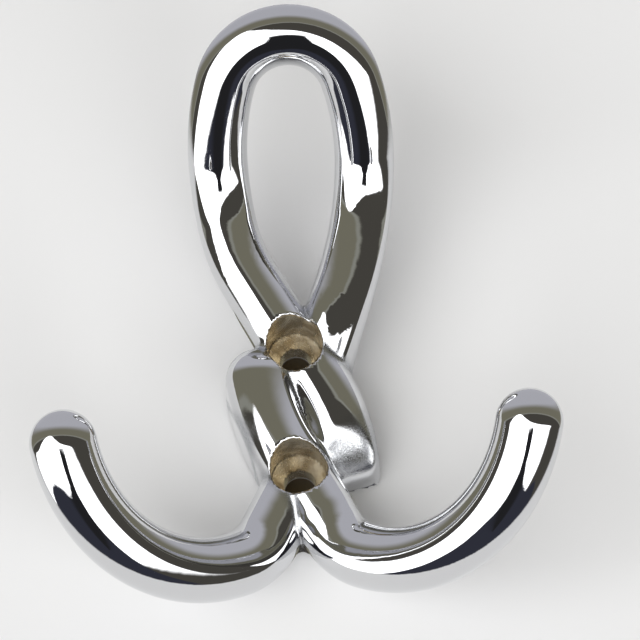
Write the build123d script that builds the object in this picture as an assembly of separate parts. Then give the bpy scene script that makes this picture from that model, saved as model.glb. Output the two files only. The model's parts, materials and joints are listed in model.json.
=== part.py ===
from build123d import *
from math import asin, atan2, cos, degrees, radians, sin, tan
import os

# Wall hook, die-cast in one piece in the form of a rope: an open loop above, two
# crossed wraps on a flat back that carry the screws, and two prongs below.
# X runs to the right, Y into the wall and Z up. The wall is the plane Y = 0, and
# the origin lies on it, midway between the two screws. Millimetres and degrees.

# Rope sections
rope_radius = 4.65           # wraps
prong_round = 4.6            # the prongs are a little slimmer, and oval
prong_flat = 4.5             # across their curl
loop_radius = 4.35           # the loop is a little slimmer
loop_crest = 3.7             # front of the loop, before its centreline
loop_back = 3.0              # flat back of the loop, behind its centreline
loop_back_edge = 1.5         # bevel of that back's two edges
draft = 2.5                  # taper of the sides that run back towards the wall
axis_height = 6.4            # centreline of the wraps above the wall

# Screw holes
screw_spacing = 19.0
screw_hole_diameter = 4.5
head_recess_diameter = 8.0
seat_height = 3.0            # narrow end of the countersink above the wall
countersink_angle = 90.0

# Loop: its top leans far forward, and both strands bend back towards the knot
loop_lean = 50.0             # of the top's plane, from upright
loop_width = 21.3            # between the centrelines at the widest place
loop_crown = 18.5            # top of the centreline above the widest place
loop_side_radius = 41.5      # both sides above the widest place
bend_radius = 16.0           # below it the strands bend upright with this radius
bend_inward_radius = 50.7    # and turn inwards with this one
bend_angle = 39.1
loop_left_radius = 26.2      # left strand below the bend
loop_left_angle = 17.9
loop_left_run = 13.1         # straight run of that strand to the upper screw
loop_right_radius = 70.0     # right strand below the bend
loop_right_angle = 9.5
dip_radius = 24.0            # the right strand bends back to pass behind the left
dip_angle = 22.0
dip_run = 9.0                # straight run after that bend, buried in the knot

# Upper wrap, from the upper screw down to its cut end, in a plane that leans a little
upper_wrap_lean = 12.0
upper_wrap_radius = 26.4
upper_wrap_angle = 42.2      # slope of the wrap at the upper screw; it bends upright
end_angle = 30.0             # the cut end faces downwards, turned this far to the right
end_reach = 6.5              # the cut end past the lower screw, the way it faces
end_round = 4.0              # the crest rolls over to the cut end with this radius
end_round_rise = 0.1         # height at which that roll starts above the crest

# Lower wrap, from its shoulder past the lower screw to the right prong
lower_wrap_angle = 28.0
lower_wrap_straight = 3.4    # straight part above the lower screw
lower_wrap_radius = 36.0
shoulder_angle = 8.0         # slope of the wrap at its shoulder
root_run = 6.0               # how far the flat back follows each prong past the lower screw

# Prongs, mirror images but for the left one's depth
prong_splay = 50.0           # turn of the prongs' planes away from straight forward
prong_run = 9.5              # straight run past the lower screw
prong_bend_radius = 9.0
prong_bend_angle = 42.0
prong_radius = 23.8
prong_sweep = 89.0
left_set_back = 1.0          # the left prong lies deeper, behind the lower wrap
root_inset = 0.25            # the roots' blocks stand this far inside the rope's sides

to_wall = Vector(0, 1, 0)
upper_screw = Vector(0, -axis_height, screw_spacing / 2)
lower_screw = Vector(0, -axis_height, -screw_spacing / 2)
beyond = 8 * screw_spacing    # larger than the casting, for what is cut away
quarter_turn = 90.0


def facing_down(lean):
    """Direction that a plane faces which leans forward from upright."""
    return Vector(0, -cos(radians(lean)), -sin(radians(lean)))


def downward(angle, side=1, lean=0):
    """Direction in such a plane, downwards and turned to one side."""
    down = Vector(0, sin(radians(lean)), -cos(radians(lean)))
    return Vector(side * sin(radians(angle)), 0, 0) + down * cos(radians(angle))


def rope_outline(radius, depth):
    """Section with a round front and drafted sides: X towards the front."""
    slope = radians(draft)
    touch = Vector(radius * sin(slope), radius * cos(slope))
    corner = Vector(-depth, (radius + depth * sin(slope)) / cos(slope))
    opposite = [Vector(point.X, -point.Y) for point in (touch, corner)]
    return make_face([
        ThreePointArc(opposite[0], (radius, 0), touch),
        Polyline(touch, corner, opposite[1], opposite[0]),
    ])


def section_plane(origin, along, front=-to_wall):
    """Plane across a strand, with X towards the strand's front."""
    return Plane(origin=origin, x_dir=front - along * front.dot(along), z_dir=along)


def wrap_section(origin, along, front):
    """Section of a wrap: rope in front, and sides that run back as far as the wall."""
    return section_plane(origin, along, front) * rope_outline(rope_radius, wrap_depth(front))


def wrap_depth(front):
    """Depth of a wrap's sides, which on a leaning wrap run on past the wall."""
    return axis_height if front == -to_wall else axis_height + rope_radius


def wrap_straight(start, along, length, front=-to_wall):
    """Straight stretch of a wrap."""
    return extrude(wrap_section(start, along, front), amount=length, dir=along)


def wrap_bend(start, along, radius, turn, front=-to_wall):
    """Bent stretch of a wrap, clockwise as seen from the front, with its end's place and way."""
    centre = start + along.cross(front) * radius
    spin = Axis(centre, -front)
    end = centre + (start - centre).rotate(spin, turn)
    stretch = revolve(wrap_section(start, along, front), axis=spin, revolution_arc=turn)
    return stretch, end, along.rotate(spin, turn)


def wrap_end(centre, along, front=-to_wall):
    """Rounded end of a wrap, half a turn of half its section."""
    one_side = Rectangle(beyond, beyond, align=(Align.CENTER, Align.MIN))
    half = rope_outline(rope_radius, wrap_depth(front)) & one_side
    spin = Axis(centre, front)
    return revolve(section_plane(centre, along, front) * half, axis=spin, revolution_arc=2 * quarter_turn)


def root(start, along):
    """Drafted block with round ends, from a prong's first run back to the wall."""
    height = -start.Y
    base = rope_radius - root_inset + height * tan(radians(draft))
    middle = start + along * (root_run / 2) + to_wall * height
    outline = Plane(origin=middle, x_dir=along, z_dir=-to_wall) * SlotCenterToCenter(root_run, 2 * base)
    return extrude(outline, amount=height, taper=draft)


def turn_on(path, towards, radius, angle):
    """Arc that goes on from the end of an edge and turns towards a direction."""
    along = path % 1
    plane = Plane(origin=path @ 1, x_dir=along, z_dir=along.cross(towards))
    return plane * JernArc((0, 0), (1, 0), radius, angle)


def run_on(path, length):
    """Straight run that goes on from the end of an edge."""
    return Line(path @ 1, path @ 1 + (path % 1) * length)


def loop_paths(plane):
    """Centrelines of the loop's two strands, each from the top down to the knot."""
    # The top arc touches both side arcs from inside and reaches the full height.
    reach = loop_side_radius - loop_width / 2
    spread = loop_side_radius**2 - reach**2 - loop_crown**2
    top_radius = spread / (2 * (loop_side_radius - loop_crown))
    shoulder = degrees(asin((loop_crown - top_radius) / (loop_side_radius - top_radius)))

    def upper_half(side):
        """One strand from the top to below its bend, and the way that lies inwards."""
        inward = Vector(-side, 0, 0)
        top = JernArc((0, 0), (side, 0), top_radius, side * (shoulder - quarter_turn))
        flank = JernArc(top @ 1, top % 1, loop_side_radius, -side * shoulder)
        bending = inward / bend_inward_radius + plane.z_dir / bend_radius
        edges = [plane * top, plane * flank]
        edges.append(turn_on(edges[-1], bending, 1 / bending.length, bend_angle))
        return edges, inward

    left, inward = upper_half(-1)
    left.append(turn_on(left[-1], inward, loop_left_radius, loop_left_angle))
    left.append(run_on(left[-1], loop_left_run))

    right, inward = upper_half(1)
    right.append(turn_on(right[-1], inward, loop_right_radius, loop_right_angle))
    right.append(turn_on(right[-1], to_wall, dip_radius, dip_angle))
    right.append(run_on(right[-1], dip_run))

    # The left strand ends at the upper screw, which sets the place of the whole loop.
    place = Pos(upper_screw - left[-1] @ 1)
    return place * Wire(left), place * Wire(right)


def loop_strands():
    """The loop's two strands, oval in front and flattened behind, as the die draws them."""
    front = facing_down(loop_lean)
    plane = Plane(origin=(0, 0, 0), x_dir=(1, 0, 0), z_dir=front)
    half_turn = 2 * quarter_turn
    crest = EllipticalCenterArc((0, 0), loop_crest, loop_radius, -quarter_turn, arc_size=half_turn)
    sides = Polyline(
        (0, loop_radius),
        (-loop_back, loop_radius),
        (-loop_back, -loop_radius),
        (0, -loop_radius),
    )
    outline = make_face([crest, sides])
    back_corners = outline.vertices().sort_by(Axis.X)[:2]
    outline = chamfer(back_corners, loop_back_edge)
    return [
        sweep(section_plane(path @ 0, path % 0, front) * outline, path=path)
        for path in loop_paths(plane)
    ]


def end_cut(facing, axis_end, slope):
    """What is taken off past the cut end, with the roll of the sloping crest towards it."""
    crest = -axis_end.Y - axis_height + rope_radius / cos(radians(upper_wrap_lean)) + end_round_rise
    rim = crest + end_round * tan(slope) - end_round / cos(slope)
    lean_out = (rim + axis_height) * tan(radians(draft))
    # Side view: X the way the end faces, Y forward from the lower wrap's centreline.
    roll = JernArc((0, rim), (0, 1), end_round, quarter_turn - degrees(slope))
    away = Polyline(
        roll @ 1,
        roll @ 1 + Vector(-beyond * cos(slope), beyond * sin(slope)),
        (-beyond * cos(slope), beyond),
        (beyond, beyond),
        (beyond, -axis_height),
        (lean_out, -axis_height),
        roll @ 0,
    )
    side = Plane(
        origin=lower_screw + facing * end_reach,
        x_dir=facing,
        z_dir=facing.cross(-to_wall),
    )
    return extrude(side * make_face([roll, away]), amount=beyond, both=True)


def upper_wrap():
    """Wrap from the upper screw down to the end that is cut square to the wall."""
    front = facing_down(upper_wrap_lean)
    start = downward(upper_wrap_angle, lean=upper_wrap_lean)
    bend, tail_top, along = wrap_bend(upper_screw, start, upper_wrap_radius, upper_wrap_angle, front)
    facing = downward(end_angle)
    to_cut = end_reach + (lower_screw - tail_top).dot(facing)
    axis_end = tail_top + along * (to_cut / along.dot(facing))
    tail = wrap_straight(tail_top, along, (axis_end - tail_top).length + 2 * rope_radius, front)
    slope = atan2(along.Y, along.dot(facing))
    return bend + tail - end_cut(facing, axis_end, slope) + wrap_end(upper_screw, -start, front)


def lower_wrap():
    """Wrap from its shoulder past the lower screw, to where the right prong leaves the wall."""
    down = downward(lower_wrap_angle)
    root_end = lower_screw + down * root_run
    straight = wrap_straight(root_end, -down, root_run + lower_wrap_straight)
    bend_start = lower_screw - down * lower_wrap_straight
    turn = lower_wrap_angle - shoulder_angle
    bend, shoulder, along = wrap_bend(bend_start, -down, lower_wrap_radius, turn)
    return straight + bend + wrap_end(shoulder, along) + root(lower_screw, down)


def prong(side, start, set_back):
    """Round prong that runs down from the lower screw and curls out and forward to a ball end."""
    along = downward(lower_wrap_angle, side)
    splay = radians(prong_splay)
    out = Vector(side * sin(splay), -cos(splay), 0)
    plane = Plane(origin=lower_screw + to_wall * set_back, x_dir=along, z_dir=along.cross(out))
    run = Line((start, 0), (prong_run, 0))
    bend = JernArc(run @ 1, run % 1, prong_bend_radius, prong_bend_angle)
    curl = JernArc(bend @ 1, bend % 1, prong_radius, prong_sweep)
    path = Wire([plane * edge for edge in (run, bend, curl)])
    tube = sweep(section_plane(path @ 0, path % 0, out) * Ellipse(prong_round, prong_flat), path=path)
    up = (Align.CENTER, Align.CENTER, Align.MIN)
    ball = Sphere(prong_round, arc_size1=0, arc_size2=quarter_turn, align=up)
    ball = scale(ball, by=(1, prong_flat / prong_round, 1))
    return tube + section_plane(path @ 1, path % 1, out) * ball


def left_prong():
    """Prong that comes out from under the lower wrap, on a block of its own."""
    start = lower_screw + to_wall * left_set_back
    return prong(-1, 0, left_set_back) + root(start, downward(lower_wrap_angle, -1))


def screw_hole(screw):
    """Clearance hole, countersink and head recess, square to the wall."""
    narrow = screw_hole_diameter / 2
    wide = head_recess_diameter / 2
    cone_depth = (wide - narrow) / tan(radians(countersink_angle / 2))
    half = Polyline(
        (0, -axis_height),
        (narrow, -axis_height),
        (narrow, seat_height),
        (wide, seat_height + cone_depth),
        (wide, beyond),
        (0, beyond),
        close=True,
    )
    drill = revolve(Plane.XZ * make_face(half), axis=Axis.Z)
    return Plane(origin=(screw.X, 0, screw.Z), z_dir=-to_wall) * drill


def hook():
    """The casting: strands joined, cut flat at the wall and drilled."""
    body = lower_wrap() + prong(1, root_run, 0)
    for strand in (left_prong(), upper_wrap(), *loop_strands()):
        body += strand
    body -= Box(2 * beyond, beyond, 2 * beyond, align=(Align.CENTER, Align.MIN, Align.CENTER))
    return body - screw_hole(upper_screw) - screw_hole(lower_screw)


os.makedirs("parts", exist_ok=True)
export_step(hook(), "parts/hook_body.step")
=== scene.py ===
import json
from math import asin, cos, degrees, radians, sin, tan

import bpy
from mathutils import Matrix, Vector


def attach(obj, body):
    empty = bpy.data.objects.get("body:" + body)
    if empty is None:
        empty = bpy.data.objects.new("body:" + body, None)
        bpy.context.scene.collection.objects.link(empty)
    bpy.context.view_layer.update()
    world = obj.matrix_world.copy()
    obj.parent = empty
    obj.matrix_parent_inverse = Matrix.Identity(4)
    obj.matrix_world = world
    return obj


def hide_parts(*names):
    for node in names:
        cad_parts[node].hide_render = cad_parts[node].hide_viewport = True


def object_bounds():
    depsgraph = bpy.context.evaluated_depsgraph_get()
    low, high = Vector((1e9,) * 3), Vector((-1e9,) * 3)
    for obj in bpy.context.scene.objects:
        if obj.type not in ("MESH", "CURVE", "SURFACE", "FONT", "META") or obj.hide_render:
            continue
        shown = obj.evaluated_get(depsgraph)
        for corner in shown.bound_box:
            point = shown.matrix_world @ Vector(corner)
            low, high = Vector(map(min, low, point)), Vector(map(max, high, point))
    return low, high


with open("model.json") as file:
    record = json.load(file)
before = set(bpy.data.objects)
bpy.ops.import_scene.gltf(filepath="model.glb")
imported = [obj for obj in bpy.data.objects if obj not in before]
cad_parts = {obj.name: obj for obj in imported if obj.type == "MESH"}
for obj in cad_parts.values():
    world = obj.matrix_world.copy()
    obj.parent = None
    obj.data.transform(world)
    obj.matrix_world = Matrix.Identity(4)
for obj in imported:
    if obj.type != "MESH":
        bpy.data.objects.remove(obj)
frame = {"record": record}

cad_box = [list(corner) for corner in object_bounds()]

# Loop: the upper part of the casting, a rope laid round on itself. Its top leans far
# off the wall, and both strands bend back to the knot, the right one behind the left.
# It is die-cast zinc with the knot in one shot: oval in front, flat behind.
mm = 0.001
holes = next(mount for mount in frame["record"]["mounts"] if mount["name"] == "screw_holes")
hole_offset = holes["dims"]["spacing_y_mm"] / 2 * mm
axis_height = 6.4 * mm
rope_radius = 4.65 * mm
right = Vector((1, 0, 0))
to_wall = Vector((0, 1, 0))
front = -to_wall
upper_screw = Vector((0, -axis_height, hole_offset))
lower_screw = Vector((0, -axis_height, -hole_offset))


def facing_down(lean):
    """Direction that a plane faces which leans forward from upright."""
    return Vector((0, -cos(radians(lean)), -sin(radians(lean))))


def downward(angle, side=1, lean=0):
    """Direction in such a plane, downwards and turned to one side."""
    down = Vector((0, sin(radians(lean)), -cos(radians(lean))))
    return right * (side * sin(radians(angle))) + down * cos(radians(angle))


def trace(start, heading, moves, spacing=0.35 * mm):
    """Centreline of a strand: straight runs (length,) and turns (radius, angle, towards)."""
    points = [start.copy()]
    heading = heading.normalized()
    for move in moves:
        here = points[-1].copy()
        if len(move) == 1:
            steps = max(1, round(move[0] / spacing))
            points += [here + heading * (move[0] * (i + 1) / steps) for i in range(steps)]
            continue
        radius, turn, towards = move[0], radians(move[1]), move[2]
        side = (towards - heading * heading.dot(towards)).normalized()
        steps = max(1, round(radius * turn / spacing))
        for i in range(steps):
            angle = turn * (i + 1) / steps
            points.append(here + heading * (radius * sin(angle)) + side * (radius * (1 - cos(angle))))
        heading = heading * cos(turn) + side * sin(turn)
    return points


def strand_line(name, points):
    """Object that holds a strand's centreline as a chain of edges."""
    mesh = bpy.data.meshes.new(name)
    mesh.from_pydata(points, [(i, i + 1) for i in range(len(points) - 1)], [])
    line = bpy.data.objects.new(name, mesh)
    bpy.context.scene.collection.objects.link(line)
    return line


loop_lean = 50
knot_lean = 12
loop_front = facing_down(loop_lean)
loop_up = Vector((0, -sin(radians(loop_lean)), cos(radians(loop_lean))))
half_width = 10.65 * mm
crown = 18.5 * mm
side_radius = 41.5 * mm
bend_radius = 16 * mm
bend_angle = 39.1
closing_radius = 50.7 * mm
reach = side_radius - half_width
top_radius = (side_radius**2 - reach**2 - crown**2) / (2 * (side_radius - crown))
shoulder = degrees(asin((crown - top_radius) / (side_radius - top_radius)))


def loop_side(start, side, moves):
    """One strand of the loop from its top: top arc, flank, the bend to upright and what follows."""
    inward = right * -side
    bend = inward / closing_radius + loop_front / bend_radius
    upper = [
        (top_radius, 90 - shoulder, -loop_up),
        (side_radius, shoulder, inward),
        (1 / bend.length, bend_angle, bend),
    ]
    return trace(start, -inward, upper + moves)


left_turn, left_run = (26.2 * mm, 17.9, right), (13.1 * mm,)
right_turn, right_dive, right_run = (70 * mm, 9.5, -right), (24 * mm, 22, to_wall), (9 * mm,)
left_moves = [left_turn, left_run]
right_moves = [right_turn, right_dive, right_run]
summit = upper_screw - loop_side(Vector((0, 0, 0)), -1, left_moves)[-1]
left_line = strand_line("loop_left", loop_side(summit, -1, left_moves))
right_line = strand_line("loop_right", loop_side(summit, 1, right_moves))
bend_top = summit.z - crown * loop_up.z
bend_foot = loop_side(summit, -1, [])[-1].z

# Upper wrap: the loop's left strand runs on over the upper screw and bends upright. Its crest
# rolls down to a slanting cut, and its sides go straight back to the wall. It is cast with the loop.
wrap_radius = 26.4 * mm
wrap_slope = 42.2
wrap_run = 12 * mm
knot_front = facing_down(knot_lean)
upper_start = downward(wrap_slope, lean=knot_lean)
upper_moves = [(wrap_radius, wrap_slope, upper_start.cross(knot_front)), (wrap_run,)]
upper_line = strand_line("upper_wrap", trace(upper_screw, upper_start, upper_moves))
roll_along = downward(12, lean=knot_lean)
roll_start = 8.6 * mm
roll_radius = 15.0 * mm
end_slant = radians(16)
end_way = downward(30)
end_reach = 6.9 * mm
end_facing = end_way * cos(end_slant) + front * sin(end_slant)
end_foot = lower_screw + to_wall * axis_height + end_way * end_reach

# Lower wrap and prongs: a second turn of rope beside the first, from its round shoulder over
# the lower screw. It runs on as the right prong; the left prong comes out from under it.
# Both prongs curl forward and up, and all of it is cast in one with the upper wrap.
wrap_angle = 28
root_run = 6.0 * mm
shoulder_run = 3.4 * mm
shoulder_radius = 36 * mm
shoulder_angle = 19.5
prong_run = 9.5 * mm
prong_splay = radians(50)
heel_radius = 9 * mm
heel_angle = 42
curl_radius = 23.8 * mm
curl_angle = 89
left_set_back = 1.0 * mm
lower_lean = 3
lower_front = facing_down(lower_lean)
lower_up = -downward(wrap_angle, lean=lower_lean)
lower_turn = (shoulder_radius, shoulder_angle, lower_up.cross(lower_front))
lower_moves = [(root_run + shoulder_run,), lower_turn]
lower_line = strand_line("lower_wrap", trace(lower_screw - lower_up * root_run, lower_up, lower_moves))


def prong_way(side):
    """Directions along a prong's root, out of it where it curls, and across its curl."""
    along = downward(wrap_angle, side)
    out = Vector((side * sin(prong_splay), -cos(prong_splay), 0))
    return along, out, along.cross(out).normalized()


prong_lines = []
for name, side, set_back in (("right_prong", 1, 0), ("left_prong", -1, left_set_back)):
    along, out, _ = prong_way(side)
    moves = [(prong_run,), (heel_radius, heel_angle, out), (curl_radius, curl_angle, out)]
    prong_lines.append(strand_line(name, trace(lower_screw + to_wall * set_back, along, moves)))
right_prong, left_prong = prong_lines
left_start = lower_screw + to_wall * left_set_back
left_root = strand_line("left_root", trace(left_start, downward(wrap_angle, -1), [(root_run,)]))

# Knot: the strands grow together where they touch, with small fillets that the die leaves.
# The tree gives the distance of any place from the casting's surface, strand by strand.


class Wire:
    """A socket of a node tree. Arithmetic on it adds Math nodes to that tree."""

    def __init__(self, tree, socket):
        self.tree = tree
        self.socket = socket

    def math(self, operation, *others):
        return Wire.node(self.tree, "ShaderNodeMath", {"operation": operation}, [self, *others])

    def vector(self, operation, *others):
        return Wire.node(self.tree, "ShaderNodeVectorMath", {"operation": operation}, [self, *others])

    def dot(self, other):
        return self.vector("DOT_PRODUCT", other).out("Value")

    def __add__(self, other):
        return self.math("ADD", other)

    def __radd__(self, other):
        return self.math("ADD", other)

    def __sub__(self, other):
        return self.math("SUBTRACT", other)

    def __rsub__(self, other):
        return Wire.node(self.tree, "ShaderNodeMath", {"operation": "SUBTRACT"}, [other, self])

    def __mul__(self, other):
        return self.math("MULTIPLY", other)

    def __rmul__(self, other):
        return self.math("MULTIPLY", other)

    def __truediv__(self, other):
        return self.math("DIVIDE", other)

    def __neg__(self):
        return self.math("MULTIPLY", -1.0)

    def between(self, low, high):
        """Smooth rise from 0 at low to 1 at high; it falls where high is the smaller."""
        sockets = {"Value": self, "From Min": low, "From Max": high}
        return Wire.node(self.tree, "ShaderNodeMapRange", {"interpolation_type": "SMOOTHSTEP"}, sockets)

    def out(self, name):
        """Another output of the node that this socket belongs to."""
        return Wire(self.tree, self.socket.node.outputs[name])

    @staticmethod
    def node(tree, kind, settings=None, sockets=None):
        """Adds a node, sets it up, fills or links its sockets and gives its first live output."""
        node = tree.nodes.new(kind)
        for key, value in (settings or {}).items():
            setattr(node, key, value)
        live = [socket for socket in node.inputs if socket.enabled]
        by_name = {socket.identifier: socket for socket in live}
        by_name.update({socket.name: socket for socket in reversed(live)})
        pairs = sockets.items() if isinstance(sockets, dict) else enumerate(sockets or [])
        for key, value in pairs:
            socket = live[key] if isinstance(key, int) else by_name[key]
            if isinstance(value, Wire):
                tree.links.new(value.socket, socket)
            else:
                socket.default_value = value
        outputs = [socket for socket in node.outputs if socket.enabled]
        return Wire(tree, outputs[0]) if outputs else node


def new_tree(name, inputs, outputs):
    """Geometry tree with named sockets, and the wires of its inputs."""
    tree = bpy.data.node_groups.new(name, "GeometryNodeTree")
    for title, kind in inputs:
        tree.interface.new_socket(title, in_out="INPUT", socket_type=kind)
    for title, kind in outputs:
        tree.interface.new_socket(title, in_out="OUTPUT", socket_type=kind)
    source = tree.nodes.new("NodeGroupInput")
    return tree, {title: Wire(tree, source.outputs[title]) for title, _ in inputs}


sizes = {
    "Rope Radius": rope_radius,
    "Loop Radius": 4.35 * mm,
    "Loop Crest": 3.7 * mm,
    "Loop Back": 3.0 * mm,
    "Prong Round": 4.59 * mm,
    "Prong Flat": 4.49 * mm,
    "Crease Round": 0.8 * mm,
    "Rim Round": 0.45 * mm,
}
floats = [(title, "NodeSocketFloat") for title in sizes]
tree, given = new_tree(
    "casting_distance",
    [("Position", "NodeSocketVector"), *floats],
    [(title, "NodeSocketFloat") for title in ("Distance", "Crease", "Seam")],
)
here = given["Position"]
split = Wire.node(tree, "ShaderNodeSeparateXYZ", None, [here])
x, y, z = split, split.out("Y"), split.out("Z")
draft = tan(radians(2.5))
loop_edge_round = 4.2 * mm
roll_round = 2.0 * mm
cut_round = 0.7 * mm
loop_fillet = 2.0 * mm
groove_fillet = 1.5 * mm
right_fillet = 1.0 * mm
left_fillet = 0.3 * mm
left_inset = 0.25 * mm
rope = given["Rope Radius"]
crease = given["Crease Round"]


def nearest(line):
    """Vector from the nearest point of a strand's centreline, and that point."""
    chain = Wire.node(tree, "GeometryNodeObjectInfo", None, {"Object": line}).out("Geometry")
    sockets = {"Target": chain, "Source Position": here}
    point = Wire.node(tree, "GeometryNodeProximity", {"target_element": "EDGES"}, sockets)
    return here.vector("SUBTRACT", point), point


def loop_strand(line):
    """Distance to a strand of the loop, which swells to the full rope towards the knot."""
    offset, point = nearest(line)
    height = Wire.node(tree, "ShaderNodeSeparateXYZ", None, [point]).out("Z")
    lean = radians(knot_lean) + height.between(bend_foot, bend_top) * radians(loop_lean - knot_lean)
    ways = {"Y": -lean.math("COSINE"), "Z": -lean.math("SINE")}
    forward = Wire.node(tree, "ShaderNodeCombineXYZ", None, ways)
    swell = height.between(bend_foot, hole_offset)
    slim = given["Loop Radius"] + (rope - given["Loop Radius"]) * swell
    crest = given["Loop Crest"] + (rope - given["Loop Crest"]) * swell
    ahead = offset.dot(forward)
    behind = (-ahead).math("MAXIMUM", 0.0)
    domed = ahead.math("MAXIMUM", 0.0) * slim / crest
    across = (offset.dot(offset) - ahead * ahead).math("MAXIMUM", 0.0)
    oval = (across + domed * domed).math("SQRT") - slim
    parting = (ahead + 1.2 * mm).math("ABSOLUTE").between(0.7 * mm, 0.0) * (1.0 - swell)
    return oval.math("SMOOTH_MAX", behind - given["Loop Back"], loop_edge_round), parting


def wrap_strand(line, radius, forward):
    """Distance to a wrap, round in front, with drafted sides behind its centreline."""
    offset, _ = nearest(line)
    ahead = offset.dot(tuple(forward))
    domed = ahead.math("MAXIMUM", 0.0)
    behind = (-ahead).math("MAXIMUM", 0.0)
    across = (offset.dot(offset) - ahead * ahead + domed * domed).math("MAXIMUM", 0.0).math("SQRT")
    return across - radius - behind * draft


def prong_strand(line, side):
    """Distance to a prong, which is a little flatter across its curl."""
    offset, _ = nearest(line)
    thin = offset.dot(tuple(prong_way(side)[2]))
    across = thin * given["Prong Round"] / given["Prong Flat"]
    round_part = offset.dot(offset) - thin * thin
    return (round_part + across * across).math("SQRT") - given["Prong Round"]


loop_left, left_seam = loop_strand(left_line)
loop_right, right_seam = loop_strand(right_line)
fade = z.between(45 * mm, 35 * mm)
end = here.vector("SUBTRACT", tuple(end_foot)).dot(tuple(end_facing))
from_screw = here.vector("SUBTRACT", tuple(upper_screw))
along = (from_screw.dot(tuple(roll_along)) - roll_start).math("MAXIMUM", 0.0)
ahead = from_screw.dot(tuple(knot_front)) - (rope + 0.1 * mm - roll_radius)
roll = (along * along + ahead * ahead).math("SQRT") - roll_radius
upper = wrap_strand(upper_line, rope, knot_front).math("SMOOTH_MAX", roll, roll_round)
upper = upper.math("SMOOTH_MAX", end, cut_round)
lower = wrap_strand(lower_line, rope, lower_front)
lower = lower.math("SMOOTH_MIN", prong_strand(right_prong, 1), right_fillet)
root = wrap_strand(left_root, rope - left_inset, front)
left = root.math("SMOOTH_MIN", prong_strand(left_prong, -1), left_fillet)
running = upper.math("SMOOTH_MIN", loop_left, loop_fillet)
knot = running.math("SMOOTH_MIN", lower, groove_fillet)
body = knot.math("SMOOTH_MIN", loop_right, fade * crease).math("SMOOTH_MIN", left, crease)

# Screw holes: a clearance hole, a countersink and a recess for the head at each screw, cut
# after casting, square to the wall. The back is ground flat to lie on the wall.
hole_radius = holes["dims"]["hole_r_mm"] * mm
recess_radius = 4.0 * mm
seat_height = 3.0 * mm
back_edge_round = 0.4 * mm
for centre in (hole_offset, -hole_offset):
    rise = z - centre
    radial = (x * x + rise * rise).math("SQRT")
    cone = hole_radius - seat_height - y
    bore = cone.math("MAXIMUM", hole_radius).math("MINIMUM", recess_radius)
    body = body.math("SMOOTH_MAX", bore - radial, given["Rim Round"])
body = body.math("SMOOTH_MAX", y, back_edge_round)
gap = (running - loop_right).math("ABSOLUTE") + (1.0 - fade) * mm * 5
gap = gap.math("MINIMUM", (running - lower).math("ABSOLUTE") + along)
gap = gap.math("MINIMUM", (lower - left).math("ABSOLUTE"))
seam = left_seam * x.between(1 * mm, -1 * mm) + right_seam * x.between(-1 * mm, 1 * mm)
seam = seam * z.between(18 * mm, 24 * mm)
results = {"Distance": body, "Crease": gap.between(1.3 * mm, 0.1 * mm), "Seam": seam}
result = tree.nodes.new("NodeGroupOutput")
for title, wire in results.items():
    tree.links.new(wire.socket, result.inputs[title])
distance_tree = tree

# Skin: the casting's surface as one closed mesh. The distance is sampled on a fine grid,
# and the grid's skin is then drawn onto the exact surface in a few even steps.
margin = Vector((1.5 * mm,) * 3)
cell = 0.4 * mm
probe = 0.03 * mm
low, high = Vector(cad_box[0]) - margin, Vector(cad_box[1]) + margin
tree, given = new_tree("casting", floats, [("Geometry", "NodeSocketGeometry")])


def distance_at(position):
    """Group node that gives the casting's distance at a position."""
    sockets = {"Position": position, **given}
    return Wire.node(tree, "GeometryNodeGroup", {"node_tree": distance_tree}, sockets)


def scaled(vector, factor):
    """Vector times a number."""
    sockets = {"Vector": vector, "Scale": factor}
    return Wire.node(tree, "ShaderNodeVectorMath", {"operation": "SCALE"}, sockets)


def slope_at(position):
    """Slope of the distance by four probes, and the distance itself as their mean."""
    slope, total = None, None
    for corner in ((1, -1, -1), (-1, -1, 1), (-1, 1, -1), (1, 1, 1)):
        value = distance_at(position.vector("ADD", tuple(probe * way for way in corner)))
        part = scaled(corner, value)
        slope = slope.vector("ADD", part) if slope else part
        total = total + value if total else value
    return scaled(slope, 0.25 / probe), total * 0.25


position = Wire.node(tree, "GeometryNodeInputPosition")
grid = {"Background": -1.0, "Min": low, "Max": high, "Density": distance_at(position) * (-1 / cell)}
for axis, span in zip("XYZ", high - low):
    grid[f"Resolution {axis}"] = round(span / cell)
volume = Wire.node(tree, "GeometryNodeVolumeCube", None, grid)
skin = Wire.node(tree, "GeometryNodeVolumeToMesh", None, {"Volume": volume, "Threshold": 0.0})
for settle in range(6):
    if settle in (1, 3):
        blur = {"Value": position, "Iterations": 2}
        even = Wire.node(tree, "GeometryNodeBlurAttribute", {"data_type": "FLOAT_VECTOR"}, blur)
        skin = Wire.node(tree, "GeometryNodeSetPosition", None, {"Geometry": skin, "Position": even})
    slope, value = slope_at(position)
    step = scaled(slope, -(value / slope.dot(slope).math("MAXIMUM", 0.05)))
    skin = Wire.node(tree, "GeometryNodeSetPosition", None, {"Geometry": skin, "Offset": step})
final = distance_at(position)
marks = {
    "crease": ("FLOAT", final.out("Crease")),
    "seam": ("FLOAT", final.out("Seam")),
    "slope": ("FLOAT_VECTOR", slope_at(position)[0]),
}
for name, (kind, value) in marks.items():
    settings = {"data_type": kind, "domain": "POINT"}
    sockets = {"Geometry": skin, "Name": name, "Value": value}
    skin = Wire.node(tree, "GeometryNodeStoreNamedAttribute", settings, sockets)
chrome = bpy.data.materials.new("polished_chrome")
skin = Wire.node(tree, "GeometryNodeSetShadeSmooth", None, {"Geometry": skin})
skin = Wire.node(tree, "GeometryNodeRealizeInstances", None, {"Geometry": skin})
skin = Wire.node(tree, "GeometryNodeSetMaterial", None, {"Geometry": skin, "Material": chrome})
tree.links.new(skin.socket, tree.nodes.new("NodeGroupOutput").inputs["Geometry"])

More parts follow.
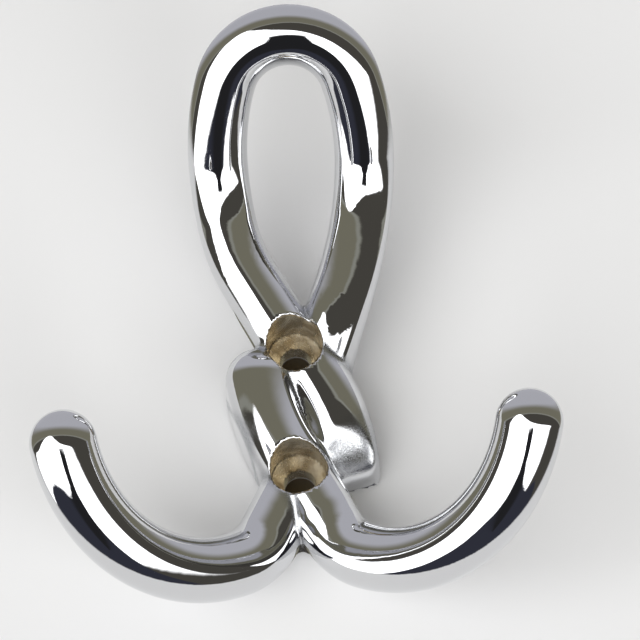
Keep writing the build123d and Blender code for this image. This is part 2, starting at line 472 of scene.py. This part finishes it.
holder = bpy.data.objects.new("casting_holder", bpy.data.meshes.new("casting_holder"))
bpy.context.scene.collection.objects.link(holder)
modifier = holder.modifiers.new("casting", "NODES")
modifier.node_group = tree
for item in tree.interface.items_tree:
    if item.in_out == "INPUT":
        modifier[item.identifier] = sizes[item.name]
graph = bpy.context.evaluated_depsgraph_get()
mesh = bpy.data.meshes.new_from_object(holder.evaluated_get(graph))
mesh.name = "rope_hook"
normals = [item.vector.normalized() for item in mesh.attributes["slope"].data]
mesh.normals_split_custom_set_from_vertices(normals)
mesh.attributes.remove(mesh.attributes["slope"])
casting = bpy.data.objects.new("rope_hook", mesh)
bpy.context.scene.collection.objects.link(casting)
lines = [left_line, right_line, upper_line, lower_line, right_prong, left_prong, left_root]
for thing in [holder, *lines]:
    bpy.data.objects.remove(thing)
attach(casting, "root")
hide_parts("hook_body")

# Chrome: bright plating over the polished casting. It is smooth with a slight wave, dull and
# pitted in the creases that the polishing wheel misses, where its colour is also darkened as painted
# shade, and the bores are bare brown metal.
chrome.use_nodes = True
tree = chrome.node_tree
shader = tree.nodes["Principled BSDF"]


def blend(amount, first, second):
    """Mix of two colours, constant or wired."""
    sockets = {"Factor_Float": amount, "A_Color": first, "B_Color": second}
    return Wire.node(tree, "ShaderNodeMix", {"data_type": "RGBA"}, sockets)


def noise(scale, detail=2.0, rough=0.5):
    """Noise around 0.5 with this many waves in a millimetre."""
    sockets = {"Vector": place, "Scale": scale, "Detail": detail, "Roughness": rough}
    return Wire.node(tree, "ShaderNodeTexNoise", None, sockets)


place = scaled(Wire.node(tree, "ShaderNodeTexCoord").out("Object"), 1 / mm)
split = Wire.node(tree, "ShaderNodeSeparateXYZ", None, [place])
x, y, z = split, split.out("Y"), split.out("Z")
aside = z.math("ABSOLUTE") - hole_offset / mm
radial = (x * x + aside * aside).math("SQRT")
crevice = Wire.node(tree, "ShaderNodeAttribute", {"attribute_name": "crease"}).out("Fac")
seam = Wire.node(tree, "ShaderNodeAttribute", {"attribute_name": "seam"}).out("Fac")
back = y.between(-0.25, -0.1)
bored = radial.between(4.12, 3.98) * (1.0 - back)

grain = noise(0.55)
fine = noise(5.0, 3.0, 0.6)
speckle = noise(0.16) * 0.6 + fine * 0.4
haze = speckle.between(0.5, 0.7) * x.math("ABSOLUTE").between(5, 8) * z.between(22, 28)
# Painted shade: the crease mask darkens the chrome's colour there, as well as making it rough and
# pitted.
rough_shaded_crease = crevice * (0.45 + fine.between(0.3, 0.65) * 0.55)
spots = seam * noise(2.6).between(0.52, 0.66)
bright_chrome = (0.69, 0.695, 0.71, 1)
shaded_crease_chrome = (0.42, 0.43, 0.45, 1)
pitted = (0.42, 0.42, 0.42, 1)
ground_back = (0.5, 0.5, 0.51, 1)
dark_brown = (0.5, 0.42, 0.29, 1)
pale_tan = (0.84, 0.77, 0.62, 1)
plating = blend(rough_shaded_crease, bright_chrome, shaded_crease_chrome)
plating = blend(spots, plating, pitted)
plating = blend(back, plating, ground_back)
brown = blend(grain.between(0.35, 0.65), dark_brown, pale_tan)
colour = blend(bored, plating, brown)
polish = 0.025 + haze * 0.08 + rough_shaded_crease * 0.3 + spots * 0.3 + back * 0.4
roughness = polish + bored * (0.16 + fine * 0.14)
wave = noise(0.22) * 0.02
pits = fine * (0.0008 + rough_shaded_crease * 0.012 + spots * 0.03 + back * 0.01 + bored * 0.004)
bump = {"Strength": 1.0, "Distance": mm, "Height": wave + pits}
relief = Wire.node(tree, "ShaderNodeBump", None, bump)
metallic = 1.0 - bored * 0.15
links = {"Base Color": colour, "Roughness": roughness, "Metallic": metallic, "Normal": relief}
for name, wire in links.items():
    tree.links.new(wire.socket, shader.inputs[name])

# Wall: the plain pale sheet that the hook is fixed to. It is seen from the front only, so
# that a view from behind shows the casting's back, and in the chrome only near the hook.
# Right behind the hook the back mirrors the room instead, and a dark disc of painted shade on the wall
# fills each bore.
wall_half = 2000 * mm
wall_gap = 0.2 * mm
wall_signs = [(-1, -1), (1, -1), (1, 1), (-1, 1)]
wall_corners = [(a * wall_half, wall_gap, b * wall_half) for a, b in wall_signs]
wall_mesh = bpy.data.meshes.new("wall")
wall_mesh.from_pydata(wall_corners, [], [(0, 1, 2, 3)])
wall = bpy.data.objects.new("wall", wall_mesh)
bpy.context.scene.collection.objects.link(wall)
paint = bpy.data.materials.new("pale_wall")
paint.use_nodes = True
tree = paint.node_tree
paper = tree.nodes["Principled BSDF"]
paper.inputs["Roughness"].default_value = 0.9
paper.inputs["Specular IOR Level"].default_value = 0.2
spot = Wire.node(tree, "ShaderNodeTexCoord").out("Object")
sideways = Wire.node(tree, "ShaderNodeSeparateXYZ", None, [spot])
height = sideways.out("Z")
aside = height.math("ABSOLUTE") - hole_offset
# Painted shade: a dark brown disc on the wall behind each bore stands for the shadowed bottom of the
# hole.
painted_bore_shade_disc = (sideways * sideways + aside * aside).math("SQRT").between(2.5 * mm, 2.2 * mm)
pale = (0.8, 0.8, 0.8, 1)
painted_bore_shade = (0.12, 0.1, 0.07, 1)
paper_with_bore_shade = blend(painted_bore_shade_disc, pale, painted_bore_shade)
tree.links.new(paper_with_bore_shade.socket, paper.inputs["Base Color"])
near_centre = (0, 0, -25 * mm)
from_hook = spot.vector("SUBTRACT", near_centre).vector("LENGTH").out("Value")
near = from_hook.between(95 * mm, 75 * mm)
mirrored = Wire.node(tree, "ShaderNodeLightPath").out("Is Glossy Ray")
back = Wire.node(tree, "ShaderNodeNewGeometry").out("Backfacing")
clear = Wire.node(tree, "ShaderNodeBsdfTransparent")
wraps = (sideways + height * 0.35).math("ABSOLUTE").between(8.4 * mm, 7.6 * mm)
wraps = wraps * height.between(18 * mm, 17 * mm) * height.between(-11 * mm, -10 * mm)
roots = sideways.math("ABSOLUTE").between(7 * mm, 6 * mm) * height.between(-10 * mm, -11 * mm)
under = wraps.math("MAXIMUM", roots) * height.between(-21 * mm, -20 * mm)
hidden = back.math("MAXIMUM", mirrored * (1.0 - near).math("MAXIMUM", under))
painted = Wire(tree, paper.outputs["BSDF"])
mixed = Wire.node(tree, "ShaderNodeMixShader", None, [hidden, painted, clear])
tree.links.new(mixed.socket, tree.nodes["Material Output"].inputs["Surface"])
wall_mesh.materials.append(paint)

# Studio: a dim room with a wide white softbox low in front of the hook, higher on the left,
# a dark gap where the camera stands, and a dark floor under it.
world = bpy.data.worlds.new("studio")
bpy.context.scene.world = world
world.use_nodes = True
tree = world.node_tree
way = Wire.node(tree, "ShaderNodeTexCoord").out("Generated")
split = Wire.node(tree, "ShaderNodeSeparateXYZ", None, [way])
x, y, z = split, split.out("Y"), split.out("Z")
rise = z.math("ARCSINE") * degrees(1)
turn = x.math("ARCTAN2", -y) * degrees(1)


def skyline(corners):
    """Height of an edge all round, from corners (turn, height) in degrees."""
    edge = Wire.node(tree, "ShaderNodeFloatCurve", None, {"Value": turn / 360 + 0.5})
    mapping = edge.socket.node.mapping
    points = mapping.curves[0].points
    for angle, height in corners[1:-1]:
        points.new(angle / 360 + 0.5, height / 180 + 0.5)
    for point, (angle, height) in zip(points, corners):
        point.location = (angle / 360 + 0.5, height / 180 + 0.5)
        point.handle_type = "AUTO"
    mapping.update()
    return (edge - 0.5) * 180


top_edge = [(-180, -30), (-120, -8), (-92, -14), (-70, -6), (-50, 4), (-36, 6), (-20, -8), (0, -24)]
top = skyline(top_edge + [(30, -29), (60, -24), (80, -18), (116, -8), (180, -12)])
foot_edge = [(-180, -30), (-115, -28), (-95, -36), (-63, -53), (-32, -61), (0, -54)]
foot = skyline(foot_edge + [(32, -64), (60, -64), (80, -60), (100, -44), (180, -40)])
ceiling = (0.53, 0.53, 0.57, 1)
room = (0.21, 0.2, 0.15, 1)
shade = (0.075, 0.07, 0.06, 1)
horizon = (0.3, 0.3, 0.26, 1)
white = (3.1, 3.1, 3.1, 1)
black_floor = (0.02, 0.02, 0.022, 1)
blue_floor = (0.038, 0.04, 0.056, 1)
backdrop = (0.77, 0.77, 0.77, 1)
floor = blend(turn.math("ABSOLUTE").between(25, 60), black_floor, blue_floor)
colour = blend(rise.between(22, 42), room, ceiling)
colour = blend(rise.between(7, 2), colour, shade)
colour = blend((rise - 5).math("ABSOLUTE").between(2.6, 0.4), colour, horizon)
span = turn.between(-122, -114) * turn.between(82, 74)
softbox = (top - rise).between(-1.5, 1.5) * span
colour = blend(softbox, colour, white)
gap = turn.math("ABSOLUTE").between(11, 9) * rise.between(-36, -42)
colour = blend(gap, colour, floor)
colour = blend((foot - rise).between(-1.5, 1.5), colour, floor)
seen = Wire.node(tree, "ShaderNodeLightPath").out("Is Camera Ray")
colour = blend(seen, colour, backdrop)
tree.links.new(colour.socket, tree.nodes["Background"].inputs["Color"])

# Camera: in front of the hook and below it, turned up to it, with a long lens. It is placed
# by where the middle between the screws lies in the picture, and by a pixel's size there.
view_below = radians(25)
view_distance = 400 * mm
pixel = 0.145 * mm
picture = 640
origin_at = (298.34, 431.6)
roll = radians(2.3)
forward = Vector((0, cos(view_below), sin(view_below)))
upright = Vector((0, -sin(view_below), cos(view_below)))
across = right * cos(roll) - upright * sin(roll)
upright = upright * cos(roll) + right * sin(roll)
aside = (origin_at[0] - picture / 2) * pixel
above = (picture / 2 - origin_at[1]) * pixel
camera = bpy.data.objects.new("camera", bpy.data.cameras.new("camera"))
camera.data.sensor_width = 36.0
camera.data.lens = camera.data.sensor_width * view_distance / (pixel * picture)
camera.data.clip_start = 0.01
camera.matrix_world = Matrix((across, upright, -forward)).transposed().to_4x4()
camera.location = -(forward * view_distance + across * aside + upright * above)
bpy.context.scene.collection.objects.link(camera)
bpy.context.scene.camera = camera
bpy.context.scene.view_settings.view_transform = "Standard"
